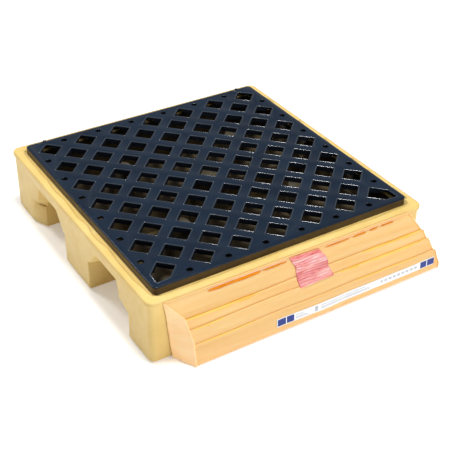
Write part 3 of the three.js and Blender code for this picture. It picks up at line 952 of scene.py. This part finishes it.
@dataclass
class DeckGrate:
    """The lift-off grating: the CAD lattice, with the raised lip that edges every hole."""

    finishes: Finishes
    pitch: float = 88.5 * MM
    rows: int = 7
    hole_side: float = 41.4 * MM
    hole_corner: float = 2.2 * MM
    top: float = 163.0 * MM
    lip_wide: float = 1.8 * MM
    lip_tall: float = 1.7 * MM
    lip_sink: float = 1.1 * MM
    band_half: float = 305.0 * MM
    eased_edge: float = 1.9 * MM
    drain_line: float = 291.0 * MM
    drain_radius: float = 8.0 * MM
    drain_lip: float = 1.0 * MM
    vee_reach: float = 24.0 * MM
    body: Body = Body.GRATE

    def lip_tree(self) -> NodeTree:
        """The tree that sets one lip round every diamond hole and every small round hole.

        Returns:
            The finished tree.
        """
        tree = NodeTree("hole_lips")
        for name in ("Pitch", "Hole Side", "Hole Corner", "Top", "Lip Width", "Lip Height"):
            tree.input(name, "Float")
        for name in ("Drain Line", "Drain Radius", "Drain Lip"):
            tree.input(name, "Float")
        tree.input("Rows", "Int")
        tree.input("Seed", "Int")
        pitch, rows, top = tree.value("Pitch"), tree.value("Rows"), tree.value("Top")
        fewer = tree.math("SUBTRACT", rows, 1)
        grids = []
        for count in (rows, fewer):
            span = tree.math("MULTIPLY", tree.math("SUBTRACT", count, 1), pitch)
            grid = tree.add(
                "GeometryNodeMeshGrid",
                {"Size X": span, "Size Y": span, "Vertices X": count, "Vertices Y": count},
            )
            grids.append(grid.outputs[0])
        places = tree.join(grids)
        where = tree.add("ShaderNodeSeparateXYZ", {0: tree.add("GeometryNodeInputPosition").outputs[0]})
        edge = tree.math("MULTIPLY", tree.math("SUBTRACT", fewer, 0.5), tree.math("MULTIPLY", pitch, 0.5))
        wide = tree.math("GREATER_THAN", tree.math("ABSOLUTE", where.outputs["X"], 0.0), edge)
        low = tree.math("LESS_THAN", where.outputs["Y"], tree.math("MULTIPLY", edge, -1.0))
        corner = tree.math("MULTIPLY", wide, low)
        kept = tree.add("GeometryNodeDeleteGeometry", {0: places, "Selection": corner}, domain="POINT")
        square = tree.add(
            "GeometryNodeCurvePrimitiveQuadrilateral",
            {"Width": tree.value("Hole Side"), "Height": tree.value("Hole Side")},
        )
        round_square = tree.add(
            "GeometryNodeFilletCurve", {0: square.outputs[0], "Radius": tree.value("Hole Corner")}
        )
        fillet_count = next(s for s in round_square.inputs if s.name == "Count")
        fillet_count.default_value = 4
        mode = next((s for s in round_square.inputs if s.name == "Mode"), None)
        if mode is not None:
            mode.default_value = "Poly"
        else:
            round_square.mode = "POLY"
        section = tree.add(
            "GeometryNodeCurvePrimitiveCircle", {"Resolution": 10, "Radius": tree.value("Lip Width")}
        )
        ring = tree.add("GeometryNodeCurveToMesh", {0: round_square.outputs[0], 1: section.outputs[0]})
        squeeze = tree.math("DIVIDE", tree.value("Lip Height"), tree.value("Lip Width"))
        flat = tree.add("ShaderNodeCombineXYZ", {"X": 1.0, "Y": 1.0, "Z": squeeze})
        ring = tree.add(
            "GeometryNodeTransform",
            {0: ring.outputs[0], "Rotation": (0.0, 0.0, math.pi / 4), "Scale": flat.outputs[0]},
        )
        tilt = tree.add("FunctionNodeRandomValue", {"Seed": tree.value("Seed")}, data_type="FLOAT_VECTOR")
        tilt.inputs[0].default_value = (-0.006, -0.006, -0.006)
        tilt.inputs[1].default_value = (0.006, 0.006, 0.006)
        lips = tree.add(
            "GeometryNodeInstanceOnPoints",
            {0: kept.outputs[0], "Instance": ring.outputs[0], "Rotation": tilt.outputs[0]},
        )
        drains = self.drain_rings(tree, fewer, pitch)
        lifted = tree.add("ShaderNodeCombineXYZ", {"Z": top})
        rings = tree.join([lips.outputs[0], drains])
        both = tree.add("GeometryNodeTransform", {0: rings, "Translation": lifted.outputs[0]})
        tree.finish(both.outputs[0], self.finishes.lip)
        return tree

    def drain_rings(self, tree: NodeTree, count: Socket, pitch: Socket) -> Socket:
        """Wire the rims of the small round holes along the four edges.

        Args:
            tree: the tree.
            count: holes on one edge.
            pitch: their spacing.

        Returns:
            The rims, at height zero.
        """
        half = tree.math("MULTIPLY", tree.math("MULTIPLY", tree.math("SUBTRACT", count, 1), pitch), -0.5)
        start = tree.add("ShaderNodeCombineXYZ", {"X": half, "Y": tree.value("Drain Line")})
        step = tree.add("ShaderNodeCombineXYZ", {"X": pitch})
        line = tree.add(
            "GeometryNodeMeshLine",
            {"Count": count, "Start Location": start.outputs[0], "Offset": step.outputs[0]},
        )
        circle, section = (
            tree.add("GeometryNodeCurvePrimitiveCircle", {"Resolution": sides, "Radius": tree.value(radius)})
            for sides, radius in ((28, "Drain Radius"), (8, "Drain Lip"))
        )
        ring = tree.add("GeometryNodeCurveToMesh", {0: circle.outputs[0], 1: section.outputs[0]})
        row = tree.add("GeometryNodeInstanceOnPoints", {0: line.outputs[0], "Instance": ring.outputs[0]})
        turned = [
            tree.add("GeometryNodeTransform", {0: row.outputs[0], "Rotation": (0.0, 0.0, angle)}).outputs[0]
            for angle in (turn * math.pi / 2 for turn in range(4))
        ]
        return tree.join(turned)

    def lips(self) -> Thing:
        """The lips of all the regular holes.

        Returns:
            The lips as one plain mesh.
        """
        tree = self.lip_tree()
        made = plain_object("grate_hole_lips", bpy.data.meshes.new("grate_hole_lips"), [self.finishes.lip])
        modifier = made.modifiers.new("hole_lips", "NODES")
        modifier.node_group = tree.group
        values = {
            "Pitch": self.pitch,
            "Hole Side": self.hole_side,
            "Hole Corner": self.hole_corner,
            "Top": self.top - self.lip_sink,
            "Lip Width": self.lip_wide,
            "Lip Height": self.lip_tall,
            "Drain Line": self.drain_line,
            "Drain Radius": self.drain_radius,
            "Drain Lip": self.drain_lip,
            "Rows": self.rows,
            "Seed": 7,
        }
        for name, value in values.items():
            modifier[tree.identifiers[name]] = value
        return settle(made)

    def corner_lips(self) -> Thing:
        """The lips of the two pointed corner holes on the outlet side.

        Returns:
            Both lips as one plain mesh.
        """
        centre = (self.rows - 1) / 2 * self.pitch
        reach = self.hole_side / math.sqrt(2)
        tip = reach / 2 + self.vee_reach / math.sqrt(2)
        points: list[Point] = []
        faces: list[tuple[int, ...]] = []
        for side in (-1, 1):
            corners = [(0, reach), (-reach, 0), (0, -reach), (tip, -tip), (reach, 0)]
            outline = []
            for at, (x, y) in enumerate(corners):
                px, py = corners[at - 1]
                nx, ny = corners[(at + 1) % len(corners)]
                here = Vector((x, y))
                back = (Vector((px, py)) - here).normalized() * self.hole_corner
                on = (Vector((nx, ny)) - here).normalized() * self.hole_corner
                for share in (0.0, 0.33, 0.67, 1.0):
                    bend = here + back * (1 - share) ** 2 + on * share**2
                    outline.append((side * (centre + bend.x), -centre + bend.y, self.top - self.lip_sink))
            ring, skin = swept_ring(np.array(outline[:: -side]), self.lip_wide, self.lip_tall, 10)
            faces += [tuple(v + len(points) for v in face) for face in skin]
            points += ring
        mesh = bpy.data.meshes.new("grate_corner_lips")
        mesh.from_pydata(points, [], faces)
        face_outwards(mesh)
        return plain_object("grate_corner_lips", mesh, [self.finishes.lip])

    def part_of(self, centre: Vector, normal: Vector) -> int:
        """Which finish a face of the slab takes.

        Args:
            centre: the middle of the face.
            normal: its direction.

        Returns:
            0 for the top, 1 for the hole walls and underside, in painted shade, 2 for the band round the
            edge, in painted shade and reflection.
        """
        outer = max(abs(centre.x), abs(centre.y)) > self.band_half
        # Outer side faces below the eased edge: the band in painted shade and reflection.
        if outer and abs(normal.z) < 0.8 and centre.z < self.top - self.eased_edge:
            return 2
        return 1 if normal.z < 0.5 else 0

    def slab(self) -> Thing:
        """The grating's slab with its outer and hole edges eased.

        Returns:
            The slab, standing for its CAD node.
        """
        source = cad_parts["deck_grate"]
        mesh = source.data.copy()
        mesh.transform(source.matrix_world)
        work = bmesh.new()
        work.from_mesh(mesh)
        bmesh.ops.remove_doubles(work, verts=work.verts, dist=0.02 * MM)
        work.to_mesh(mesh)
        work.free()
        for face in mesh.polygons:
            face.material_index = self.part_of(face.center, face.normal)
        finishes = [self.finishes.grate, self.finishes.hole_wall, self.finishes.band]
        made = plain_object("deck_grate_moulded", mesh, finishes)
        smooth_by_angle(made.data, 24.0)
        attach(made, self.body.value)
        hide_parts("deck_grate")
        return made

    def build(self) -> list[Thing]:
        """Make the grating.

        Returns:
            Its pieces, riding on the grate.
        """
        made = [self.slab()]
        for piece in (self.lips(), self.corner_lips()):
            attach(piece, self.body.value)
            made.append(piece)
        log.info("grating: %s", {piece.name: len(piece.data.polygons) for piece in made})
        return made


# ---------------------------------------------------------------- folded bladder


@dataclass(frozen=True)
class Crease:
    """One hard fold line along the front of the pack, in mm: it takes a painted crease shade over some
    lengths.
    """

    height: float
    deep: float
    half: float
    ends: Spans
    reach: float = 2.2

    def covers(self, x: float, deep: float, z: float) -> bool:
        """Whether a place of the film is on the line of painted crease shade.

        Args:
            x: along the wall.
            deep: out from the wall.
            z: height.

        Returns:
            True on the line.
        """
        if abs(deep - self.deep) > self.reach:
            return False
        for start, stop in self.ends:
            share = (x - start) / (stop - start)
            if 0.0 < share < 1.0:
                swell = min(1.0, 6.0 * share, 6.0 * (1.0 - share))
                swell *= 0.75 + 0.5 * noise.noise(Vector((x / 30.0, self.height, 1.3)))
                return abs(z - self.height) < self.half * swell
        return False


@dataclass
class FilmPack:
    """The folded film bladder: one long sheet in flat pleats, its gusseted ends, tape and strip."""

    finishes: Finishes
    wall: float = -333.0 * MM
    film: float = 0.7 * MM
    columns: int = 190
    left: Spans = ((1.0, -260.5), (12.0, -261.0), (61.0, -263.5), (105.0, -271.0), (147.0, -305.0))
    right: Spans = ((1.0, 361.0), (14.0, 363.0), (57.0, 342.0), (100.0, 321.0), (147.0, 292.0))
    left_wall: Spans = ((1.0, -287.0), (147.0, -306.0))
    right_wall: Spans = ((1.0, 330.0), (147.0, 291.0))
    section: Spans = (
        (4.4, 137.0), (4.4, 145.8), (5.4, 147.0), (6.2, 145.6), (6.6, 142.6), (7.8, 139.6), (10.6, 134.0),
        (14.6, 126.0), (18.2, 117.0), (20.6, 109.0), (21.2, 104.0), (21.1, 98.0), (21.0, 88.0), (21.0, 81.0),
        (21.5, 79.8), (22.0, 81.0), (22.1, 92.0), (22.2, 100.0), (22.6, 101.8), (23.6, 101.9), (25.2, 99.4),
        (28.2, 93.0), (31.0, 87.6), (31.9, 83.0), (31.8, 76.0), (31.7, 67.0), (31.8, 61.0), (32.2, 59.8),
        (32.7, 61.0), (32.8, 72.0), (32.9, 81.4), (33.2, 83.0), (33.9, 83.2), (35.2, 81.4), (38.2, 75.0),
        (41.2, 67.0), (43.4, 60.0), (44.2, 54.0), (44.1, 47.0), (44.0, 36.0), (44.1, 31.0), (44.5, 29.8),
        (45.0, 31.0), (45.1, 42.0), (45.2, 51.4), (45.5, 53.6), (46.1, 53.8), (46.9, 52.0), (47.9, 46.0),
        (48.8, 38.0), (49.5, 28.0), (50.0, 18.0), (50.3, 10.0), (50.0, 4.6), (48.6, 1.9), (46.0, 1.2),
        (38.0, 1.4), (26.0, 1.5), (14.0, 1.6), (6.0, 2.0), (2.6, 4.4), (1.8, 12.0), (1.6, 30.0), (1.6, 48.0),
    )
    front: Spans = (
        (147.0, 6.4), (142.6, 7.2), (139.6, 8.6), (134.0, 11.2), (126.0, 15.0), (117.0, 18.6), (109.0, 21.2),
        (104.0, 22.6), (101.0, 25.0), (93.0, 28.8), (87.6, 31.8), (83.0, 34.8), (75.0, 38.6), (67.0, 41.6),
        (60.0, 44.0), (53.6, 47.0), (46.0, 48.3), (38.0, 49.2), (28.0, 50.0), (18.0, 50.5), (10.0, 50.8),
        (1.0, 50.5),
    )
    creases: tuple[Crease, ...] = (
        Crease(height=102.0, deep=23.2, half=3.2, ends=((-275.0, -95.0), (150.0, 325.0))),
        Crease(height=83.0, deep=33.9, half=2.2, ends=((-262.0, -190.0), (80.0, 325.0))),
        Crease(height=53.8, deep=46.2, half=1.4, ends=((-255.0, -120.0), (120.0, 300.0))),
    )
    right_step: float = 4.5
    step_tall: float = 20.0
    last_pleat: float = 30.0
    gusset_turn: float = 0.75
    gusset_lap: float = 2.0
    slit_lengths: tuple[Point, ...] = (
        (-212, -88, 1.0), (-86, -26, 0.5), (68, 132, 0.42), (139, 176, 0.60), (184, 206, 0.40),
        (214, 250, 0.55),
    )
    bead_lengths: tuple[Point, ...] = ((-214, -24, 1.0), (66, 262, 0.8))
    tape_slip: float = 6.5
    tape_corners: tuple[Point, ...] = ((-22.0, 145.6, 0), (52.0, 142.0, 0), (76.0, 84.0, 0), (-9.0, 83.0, 0))
    strip_span: tuple[float, float] = (-73.0, 346.0)
    strip_heights: tuple[float, float] = (17.5, 36.5)
    blue_blocks: Spans = ((1.5, 20.0), (22.5, 41.0))
    grey_block: tuple[float, float] = (92.0, 101.0)
    fine_lines: Spans = ((45.0, 86.0), (108.0, 250.0))
    dashes: tuple[float, float] = (266.0, 370.0)
    dash_step: float = 12.0
    body: Body = Body.BLADDER
    pieces: list[Thing] = field(default_factory=list)

    @staticmethod
    def ripple(x: float, z: float) -> float:
        """How far the film swells or dips at one place of the front.

        Args:
            x: along the wall, in mm.
            z: height, in mm.

        Returns:
            The swell, in mm.
        """
        broad = noise.noise(Vector((x / 120.0, z / 55.0, 3.1)))
        tight = noise.noise(Vector((x / 42.0 + z / 60.0, z / 16.0, 8.7)))
        ease = min(1.0, max(0.0, (146.0 - z) / 25.0)) * min(1.0, max(0.0, z / 14.0))
        return ease * (1.5 * broad + 0.55 * tight)

    @staticmethod
    def sway(x: float, z: float) -> float:
        """How far a fold line rises or falls along the wall.

        Args:
            x: along the wall, in mm.
            z: the fold's height, in mm.

        Returns:
            The rise, in mm.
        """
        ease = min(1.0, max(0.0, (140.0 - z) / 30.0)) * min(1.0, max(0.0, (z - 3.0) / 20.0))
        return ease * 3.4 * noise.noise(Vector((x / 150.0, z / 34.0, 21.5)))

    def ends(self, deep: float, z: float) -> tuple[float, float]:
        """Where the film starts and ends along the wall at one depth and height.

        Args:
            deep: distance out from the wall, in mm.
            z: height, in mm.

        Returns:
            The left and right ends, in mm.
        """
        share = min(1.0, max(0.0, deep / read_off(self.front[::-1], z)))
        found = []
        for near, far in ((self.left_wall, self.left), (self.right_wall, self.right)):
            at_wall, at_front = read_off(near, z), read_off(far, z)
            found.append(at_wall + (at_front - at_wall) * share)
        stops = [crease.height for crease in self.creases]
        below = [stop for stop in stops if z < stop]
        if below and min(stops) - self.last_pleat < z:
            fall = min(1.0, (min(below) - z) / self.step_tall)
            found[1] += self.right_step * (1.0 - fall) * share
        return found[0], found[1]

    def front_deep(self, x: float, z: float) -> float:
        """How far the front face stands out at one place.

        Args:
            x: along the wall, in mm.
            z: height, in mm.

        Returns:
            The distance from the wall, in mm.
        """
        return read_off(self.front[::-1], z) + self.ripple(x, z)

    def place(self, x: float, deep: float, z: float) -> Point:
        """A point of the pack in the frame.

        Args:
            x: along the wall, in mm.
            deep: out from the wall, in mm.
            z: height, in mm.

        Returns:
            The point in metres.
        """
        return (x * MM, self.wall - max(deep, 0.7) * MM, max(z, 1.0) * MM)

    def smooth_section(self, steps: int = 3) -> list[tuple[float, float]]:
        """The pleated section as a smooth line.

        Args:
            steps: points between two named ones.

        Returns:
            Points as (depth, height), in mm.
        """
        points = [np.array(p) for p in self.section]
        points = [points[0], *points, points[-1]]
        line = []
        for a, b, c, d in zip(points, points[1:], points[2:], points[3:]):
            for step in range(steps):
                t = step / steps
                square, cube = 2 * a - 5 * b + 4 * c - d, 3 * b - a - 3 * c + d
                line.append(0.5 * (2 * b + (c - a) * t + square * t**2 + cube * t**3))
        line.append(points[-1])
        return [(float(p[0]), float(p[1])) for p in line]

    def sheet(self) -> Thing:
        """The long pleated sheet.

        Returns:
            The sheet, closed round its own thickness.
        """
        section = self.smooth_section()
        rows = np.zeros((len(section), self.columns, 3))
        for r, (deep, z) in enumerate(section):
            low, high = self.ends(deep, z)
            for c in range(self.columns):
                x = low + (high - low) * c / (self.columns - 1)
                swell = self.ripple(x, z) * min(1.0, max(0.0, (deep - 5.0) / 8.0))
                rows[r, c] = self.place(x, deep + swell, z + self.sway(x, z))

        def colour_of(row: int, column: int) -> int:
            """Pick a face's colour: 0 film, 1 the painted crease shade of a hard fold line.

            Args:
                row: the face's row, down the section.
                column: its column, from the left.

            Returns:
                The material's number.
            """
            deep, z = section[row]
            x = rows[row, column, 0] / MM
            return int(any(crease.covers(x, deep, z) for crease in self.creases))

        return grid_sheet(
            "bladder_folded_film", rows, self.film, [self.finishes.film, self.finishes.crease_shade_film], colour_of
        )

    def gusset(self, name: str, side: int) -> Thing:
        """The tucked film that closes one end of the pleats.

        Args:
            name: the piece's name.
            side: -1 for the left end, 1 for the right end.

        Returns:
            The gusset, from the wall round to the front face.
        """
        heights = np.linspace(1.6, 146.0, 64)
        across = 26
        rows = np.zeros((len(heights), across, 3))
        pick = 0 if side < 0 else 1
        for r, z in enumerate(heights):
            full = self.front_deep(self.ends(99.0, z)[pick], z)
            edge = self.ends(full, z)[pick]
            for c in range(across):
                share = c / (across - 1)
                if share < self.gusset_turn:
                    deep = 2.2 + (full - 2.2) * share / self.gusset_turn
                    x = self.ends(deep, z)[pick] + side * 1.1
                    x -= side * 0.5 * math.sin(share / self.gusset_turn * 3 * math.pi) * min(1.0, full / 30.0)
                else:
                    bend = (share - self.gusset_turn) / (1 - self.gusset_turn)
                    x = edge + side * 1.1 - side * self.gusset_lap * bend
                    deep = self.front_deep(x, z) + 0.8 * math.sin(min(1.0, bend * 3.0) * math.pi / 2)
                rows[r, c] = self.place(x, deep, z + self.sway(edge, z))
        # The gussets take the paler, glowing copy of the film: painted light.
        return grid_sheet(name, rows, 0.6 * MM, [self.finishes.painted_glow_film])

    def band(
        self,
        name: str,
        spans: Sequence[tuple[float, float, float]],
        heights: tuple[float, float],
        lift: float,
        material: Finish,
    ) -> Thing:
        """A narrow band along the hem, in one or more lengths with pointed ends.

        Args:
            name: the piece's name.
            spans: where each length starts and ends, in mm, and its share of the full height.
            heights: its lower and upper edge, in mm.
            lift: how far it stands off the film, in mm.
            material: its material.

        Returns:
            The band.
        """
        low, high = heights
        points: list[Point] = []
        faces: list[tuple[int, ...]] = []
        sides = 8
        for start, stop, tall in spans:
            count = max(8, int((stop - start) / 5.0))
            base = len(points)
            for at in range(count + 1):
                share = at / count
                x = start + (stop - start) * share
                swell = math.sqrt(max(0.0, 1 - (2 * share - 1) ** 8)) * 0.96 + 0.04
                middle = (low + high) / 2 + 1.4 * noise.noise(Vector((x / 130.0, 1.7, 2.2)))
                uneven = 1.0 + 0.5 * noise.noise(Vector((x / 28.0, 4.0, 0.5)))
                half = (high - low) / 2 * tall * swell * uneven
                for step in range(sides):
                    angle = 2 * math.pi * step / sides
                    z = middle + half * math.sin(angle)
                    deep = self.front_deep(x, z) + lift * (0.4 + 0.6 * math.cos(angle)) * swell
                    points.append(self.place(x, deep, z))
            for at in range(count):
                for step in range(sides):
                    a, b = base + at * sides + step, base + at * sides + (step + 1) % sides
                    faces.append((a, b, b + sides, a + sides))
            faces.append(tuple(base + step for step in reversed(range(sides))))
            faces.append(tuple(base + count * sides + step for step in range(sides)))
        mesh = bpy.data.meshes.new(name)
        mesh.from_pydata(points, [], faces)
        face_outwards(mesh)
        return plain_object(name, mesh, [material])

    def tape(self) -> Thing:
        """The wrinkled tie tape over the middle of the hem.

        Returns:
            The tape.
        """
        high, wide = 110, 34
        rows = np.zeros((high, wide, 3))
        top_left, top_right, low_right, low_left = (np.array(corner[:2]) for corner in self.tape_corners)
        for r in range(high):
            v = r / (high - 1)
            for c in range(wide):
                u = c / (wide - 1)
                above, below = top_left * (1 - u) + top_right * u, low_left * (1 - u) + low_right * u
                spot = above * (1 - v) + below * v
                x, z = float(spot[0]), float(spot[1])
                x += 1.8 * noise.noise(Vector((v * 7.0, 1.0 + round(u), 4.0))) * (2 * abs(u - 0.5)) ** 2
                x += self.tape_slip * math.exp(-(((v - 0.36) / 0.24) ** 2))
                ridge = math.sin(v * 12.0 * 2 * math.pi + 3.4 * noise.noise(Vector((u * 2.0, v * 4.0, 9.0))))
                wrinkle = 0.70 * ridge * (0.60 + 0.40 * noise.noise(Vector((u * 4.0, v * 6.0, 2.0))))
                curl = 1.1 * max(0.0, abs(2 * u - 1) - 0.86) / 0.14
                rows[r, c] = self.place(x, self.front_deep(x, z) + 1.9 + wrinkle - curl, z)
        return grid_sheet("tie_tape_wrinkled", rows, 0.5 * MM, [self.finishes.tape])

    def strip(self) -> Thing:
        """The marking strip: white, with blue end blocks and plain grey lines.

        Returns:
            The strip.
        """
        start, stop = self.strip_span
        low, high = self.strip_heights
        wide, tall = 211, 13
        rows = np.zeros((tall, wide, 3))
        for r in range(tall):
            for c in range(wide):
                x = start + (stop - start) * c / (wide - 1)
                z = low + (high - low) * r / (tall - 1) + 1.3 * noise.noise(Vector((x / 90.0, 6.0, 6.0)))
                rows[r, c] = self.place(x, self.front_deep(x, z) + 0.7, z)

        def colour_of(row: int, column: int) -> int:
            """Pick a face's colour: 0 white, 1 blue, 2 grey.

            Args:
                row: the face's row, from the bottom.
                column: its column, from the left.

            Returns:
                The material's number.
            """
            at = column * (stop - start) / (wide - 1)
            left, right = at, (stop - start) - at
            if row in (0, tall - 2):
                return 0
            if any(low_x <= side <= high_x for side in (left, right) for low_x, high_x in self.blue_blocks):
                return 1
            if self.grey_block[0] <= left <= self.grey_block[1] and 2 <= row <= 9:
                return 2
            if row in (3, 5, 8) and any(begin <= left <= end - 3.0 * row for begin, end in self.fine_lines):
                return 2
            dashed = left % self.dash_step < 0.75 * self.dash_step
            return 2 if row in (5, 6, 7) and dashed and self.dashes[0] <= left <= self.dashes[1] else 0

        inks = [self.finishes.white, self.finishes.blue, self.finishes.grey]
        return grid_sheet("marking_strip_printed", rows, 0.4 * MM, inks, colour_of)

    def build(self) -> list[Thing]:
        """Make the pack.

        Returns:
            Its pieces, riding on the bladder.
        """
        film = self.sheet()
        left, right = self.gusset("bladder_gusset_left", -1), self.gusset("bladder_gusset_right", 1)
        # The slit is a dark band, painted shade of the gap between film layers.
        slit = self.band(
            "bladder_hem_slit",
            self.slit_lengths,
            (137.0, 142.2),
            1.1,
            self.finishes.slit_shade_film,
        )
        bead = self.band("bladder_hem_bead", self.bead_lengths, (142.5, 143.9), 1.0, self.finishes.lip_film)
        tape, strip = self.tape(), self.strip()
        films = [(piece, Slot.FILM) for piece in (film, left, right, slit, bead)]
        for piece, slot in (*films, (tape, Slot.TAPE), (strip, Slot.STRIP)):
            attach(piece, self.body.value)
            self.pieces.append(piece)
        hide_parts("bladder_pack")
        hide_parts("tie_tape")
        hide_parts("marking_strip")
        log.info("bladder: %s", {piece.name: len(piece.data.polygons) for piece in self.pieces})
        return self.pieces


# ---------------------------------------------------------------- carried-over CAD nodes


@dataclass
class Hardware:
    """Columns, gaskets, frames and fasteners: their CAD meshes with finishes, the columns' in painted shade.
    """

    finishes: Finishes

    def finish_of(self, node: str) -> tuple[Finish, Slot]:
        """The finish of one node.

        Args:
            node: the node's name.

        Returns:
            Its material and slot.
        """
        # The columns take the dark brown column material, a painted shade.
        table = {
            "centre_column": (self.finishes.column, Slot.COLUMN),
            "support_post": (self.finishes.column, Slot.COLUMN),
            "outlet_gasket": (self.finishes.rubber, Slot.RUBBER),
            "clamp_frame": (self.finishes.clamp, Slot.CLAMP),
            "bladder_collar": (self.finishes.film, Slot.FILM),
            "outlet_": (self.finishes.bright, Slot.FASTENER),
        }
        return next(value for start, value in table.items() if node.startswith(start))

    def build(self) -> list[str]:
        """Assign every finish.

        Returns:
            The nodes that were given one.
        """
        done = []
        for name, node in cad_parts.items():
            if node.hide_render:
                continue
            material, slot = self.finish_of(name)
            node.data.materials.clear()
            node.data.materials.append(material)
            smooth_by_angle(node.data, 32.0)
            done.append(name)
        log.info("hardware: %d nodes", len(done))
        return done


# ---------------------------------------------------------------- studio


@dataclass
class Studio:
    """Pale floor, soft lights and the camera."""

    finishes: Finishes
    camera_at: Point = (-0.971395, -1.578541, 1.295509)
    camera_right: Point = (0.84695, -0.53141, 0.01681)
    camera_up: Point = (0.29024, 0.48860, 0.82282)
    camera_back: Point = (-0.44547, -0.69201, 0.56805)
    lens: float = 77.6
    floor_half: float = 6.0
    sky_strength: float = 0.34

    def floor(self) -> None:
        """Lay the floor."""
        half = self.floor_half
        mesh = bpy.data.meshes.new("studio_floor")
        corners = [(-half, -half, 0), (half, -half, 0), (half, half, 0), (-half, half, 0)]
        mesh.from_pydata(corners, [], [(0, 1, 2, 3)])
        plain_object("studio_floor", mesh, [self.finishes.floor])

    def light(self, name: str, at: Point, aim: Point, size: float, power: float) -> None:
        """Hang one soft light.

        Args:
            name: its name.
            at: where it hangs.
            aim: where it points.
            size: its side.
            power: its power in watts.
        """
        data = bpy.data.lights.new(name, "AREA")
        data.size = size
        data.energy = power
        lamp = bpy.data.objects.new(name, data)
        bpy.context.scene.collection.objects.link(lamp)
        lamp.location = at
        lamp.rotation_euler = (Vector(aim) - Vector(at)).to_track_quat("-Z", "Y").to_euler()

    def camera(self) -> None:
        """Set the scene's camera."""
        data = bpy.data.cameras.new("camera")
        data.lens = self.lens
        data.sensor_width = 36.0
        holder = bpy.data.objects.new("camera", data)
        bpy.context.scene.collection.objects.link(holder)
        turn = Matrix((self.camera_right, self.camera_up, self.camera_back)).transposed().to_4x4()
        holder.matrix_world = Matrix.Translation(self.camera_at) @ turn
        bpy.context.scene.camera = holder

    def build(self) -> None:
        """Set the stage."""
        self.floor()
        world = bpy.data.worlds.new("studio")
        world.use_nodes = True
        sky = world.node_tree.nodes["Background"]
        sky.inputs["Color"].default_value = (1.0, 1.0, 1.0, 1.0)
        sky.inputs["Strength"].default_value = self.sky_strength
        bpy.context.scene.world = world
        self.light("key", (1.2, -2.9, 1.8), (0.0, -0.1, 0.1), 1.6, 52.0)
        self.light("overhead", (-0.15, -0.25, 2.6), (-0.05, -0.05, 0.1), 0.5, 49.0)
        self.light("behind", (-0.9, 1.8, 2.1), (0.0, 0.3, 0.15), 0.5, 26.0)
        self.camera()
        bpy.context.scene.view_settings.view_transform = "Standard"
        log.info("studio set")


def main() -> None:
    """Build the deck piece by piece."""
    logging.basicConfig(level=logging.INFO, format="%(name)s: %(message)s")
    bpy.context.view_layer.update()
    finishes = Finishes()
    SumpTray(finishes).build()
    DeckGrate(finishes).build()
    FilmPack(finishes).build()
    Hardware(finishes).build()
    Studio(finishes).build()
    bpy.context.view_layer.update()


if __name__ == "__main__":
    main()
